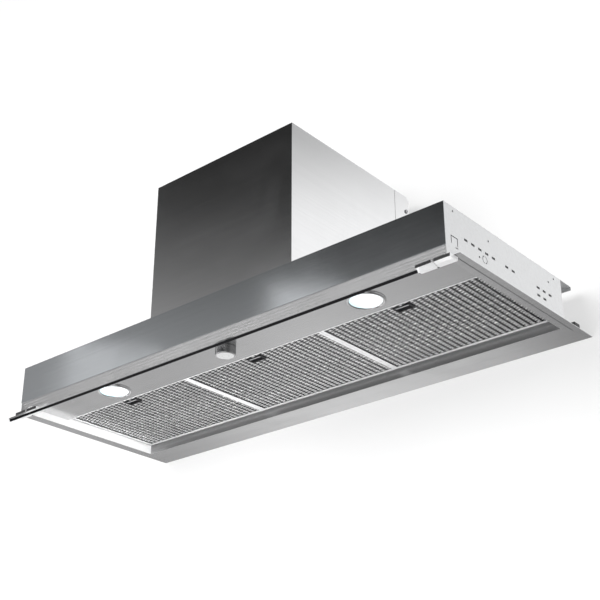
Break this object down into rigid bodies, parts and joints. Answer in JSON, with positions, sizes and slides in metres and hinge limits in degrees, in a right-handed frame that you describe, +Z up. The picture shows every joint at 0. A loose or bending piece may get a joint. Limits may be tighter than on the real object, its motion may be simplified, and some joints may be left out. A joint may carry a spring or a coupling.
{
  "type": "built-in range hood",
  "caption": "Wide built-in range hood with a slim canopy, motor tower, drop-down grease filters, round lamps, a centre knob and a tilting dark glass visor",
  "frame": {"origin": "middle of the rear band of the rim's upper face, the face that lies against the cabinet's underside", "axes": "+X along the width towards the right seen from the front, +Y towards the wall, +Z up"},
  "size_m": [0.898, 0.3892, 0.4182],
  "materials": {
    "dark_front": "dark brushed stainless steel, satin",
    "tower_steel": "brushed stainless steel, satin",
    "panel_steel": "fine brushed stainless steel",
    "rim_steel": "brushed stainless steel, satin",
    "galvanised": "galvanised sheet, pale",
    "profile_alu": "anodised extrusion, satin",
    "bracket_alu": "pale anodised",
    "filter_alu": "bare aluminium",
    "mesh_alu": "expanded aluminium mesh",
    "latch_black": "matt black",
    "latch_grip": "grey, satin",
    "lamp_rim": "polished ring",
    "lamp_glass": "frosted, lit",
    "lamp_can": "cast",
    "knob_metal": "polished side, satin face",
    "visor_glass": "black enamelled glass, gloss",
    "black_plastic": "black moulded plastic",
    "grey_plastic": "grey moulded plastic",
    "fan_plastic": "dark moulded plastic",
    "screw_steel": "zinc plated",
    "spring_steel": "spring steel",
    "motor_paint": "black paint"
  },
  "bodies": {
    "canopy": {"canopy_top": "galvanised", "front_fascia": "dark_front", "back_panel": "galvanised", "front_profile": "profile_alu", "rim_frame": "rim_steel", "filter_rear_ledge": "galvanised", "light_panel": "panel_steel", "rotary_switch": "black_plastic", "tower_front_cover": "tower_steel", "tower_rear_cover": "tower_steel", "tower_frame": "galvanised", "tower_screws": "screw_steel", "tower_top_plate": "galvanised", "duct_collar": "black_plastic", "flap_pin": "screw_steel", "blower_scroll": "grey_plastic", "fan_motor": "motor_paint", "motor_bracket": "galvanised", "motor_capacitor": "grey_plastic", "terminal_box": "black_plastic", "cable_gland": "black_plastic", "lamp_driver": "grey_plastic", "rear_spacers": "black_plastic", "hinge_pins": "screw_steel", "side_panel_left": "galvanised", "blower_side_left": "grey_plastic", "hinge_bracket_left": "bracket_alu", "lamp_bezel_left": "lamp_rim", "lamp_lens_left": "lamp_glass", "lamp_housing_left": "lamp_can", "side_panel_right": "galvanised", "blower_side_right": "grey_plastic", "hinge_bracket_right": "bracket_alu", "lamp_bezel_right": "lamp_rim", "lamp_lens_right": "lamp_glass", "lamp_housing_right": "lamp_can"},
    "visor": {"visor_plate": "visor_glass", "visor_cheek_left": "bracket_alu", "visor_cheek_right": "bracket_alu"},
    "knob": {"control_knob": "knob_metal", "switch_spindle": "screw_steel"},
    "fan_wheel": {"impeller": "fan_plastic", "motor_shaft": "screw_steel"},
    "flap_front": {"damper_flap_front": "grey_plastic"},
    "flap_rear": {"damper_flap_rear": "grey_plastic"},
    "filter_left": {"filter_frame_left": "filter_alu", "filter_mesh_left": "mesh_alu", "latch_pocket_left": "latch_black", "latch_spring_left": "spring_steel"},
    "latch_left": {"filter_latch_left": "latch_grip"},
    "filter_centre": {"filter_frame_centre": "filter_alu", "filter_mesh_centre": "mesh_alu", "latch_pocket_centre": "latch_black", "latch_spring_centre": "spring_steel"},
    "latch_centre": {"filter_latch_centre": "latch_grip"},
    "filter_right": {"filter_frame_right": "filter_alu", "filter_mesh_right": "mesh_alu", "latch_pocket_right": "latch_black", "latch_spring_right": "spring_steel"},
    "latch_right": {"filter_latch_right": "latch_grip"}
  },
  "joints": [
    {"name": "visor_tilt", "type": "hinge", "parent": "canopy", "child": "visor", "pos_m": [0, -0.326, -0.006], "axis": [1, 0, 0], "range_deg": [-32, 0]},
    {"name": "knob_turn", "type": "hinge", "parent": "canopy", "child": "knob", "pos_m": [0, -0.284, 0.002], "axis": [0, 0, -1], "range_deg": [0, 180]},
    {"name": "fan_spin", "type": "hinge", "parent": "canopy", "child": "fan_wheel", "pos_m": [0, -0.157, 0.195], "axis": [1, 0, 0], "continuous": true},
    {"name": "flap_front_swing", "type": "hinge", "parent": "canopy", "child": "flap_front", "pos_m": [0, -0.153, 0.351], "axis": [1, 0, 0], "range_deg": [-72, 0]},
    {"name": "flap_rear_swing", "type": "hinge", "parent": "canopy", "child": "flap_rear", "pos_m": [0, -0.153, 0.351], "axis": [1, 0, 0], "range_deg": [0, 72]},
    {"name": "filter_left_drop", "type": "hinge", "parent": "canopy", "child": "filter_left", "pos_m": [-0.2817, -0.0416, 0.016], "axis": [1, 0, 0], "range_deg": [0, 60]},
    {"name": "latch_left_slide", "type": "slide", "parent": "filter_left", "child": "latch_left", "axis": [0, 1, 0], "range_m": [0, 0.004], "stiffness_N_per_m": 150, "springref_m": -0.003, "deforming": ["latch_spring_left"]},
    {"name": "filter_centre_drop", "type": "hinge", "parent": "canopy", "child": "filter_centre", "pos_m": [0, -0.0416, 0.016], "axis": [1, 0, 0], "range_deg": [0, 60]},
    {"name": "latch_centre_slide", "type": "slide", "parent": "filter_centre", "child": "latch_centre", "axis": [0, 1, 0], "range_m": [0, 0.004], "stiffness_N_per_m": 150, "springref_m": -0.003, "deforming": ["latch_spring_centre"]},
    {"name": "filter_right_drop", "type": "hinge", "parent": "canopy", "child": "filter_right", "pos_m": [0.2817, -0.0416, 0.016], "axis": [1, 0, 0], "range_deg": [0, 60]},
    {"name": "latch_right_slide", "type": "slide", "parent": "filter_right", "child": "latch_right", "axis": [0, 1, 0], "range_m": [0, 0.004], "stiffness_N_per_m": 150, "springref_m": -0.003, "deforming": ["latch_spring_right"]}
  ]
}
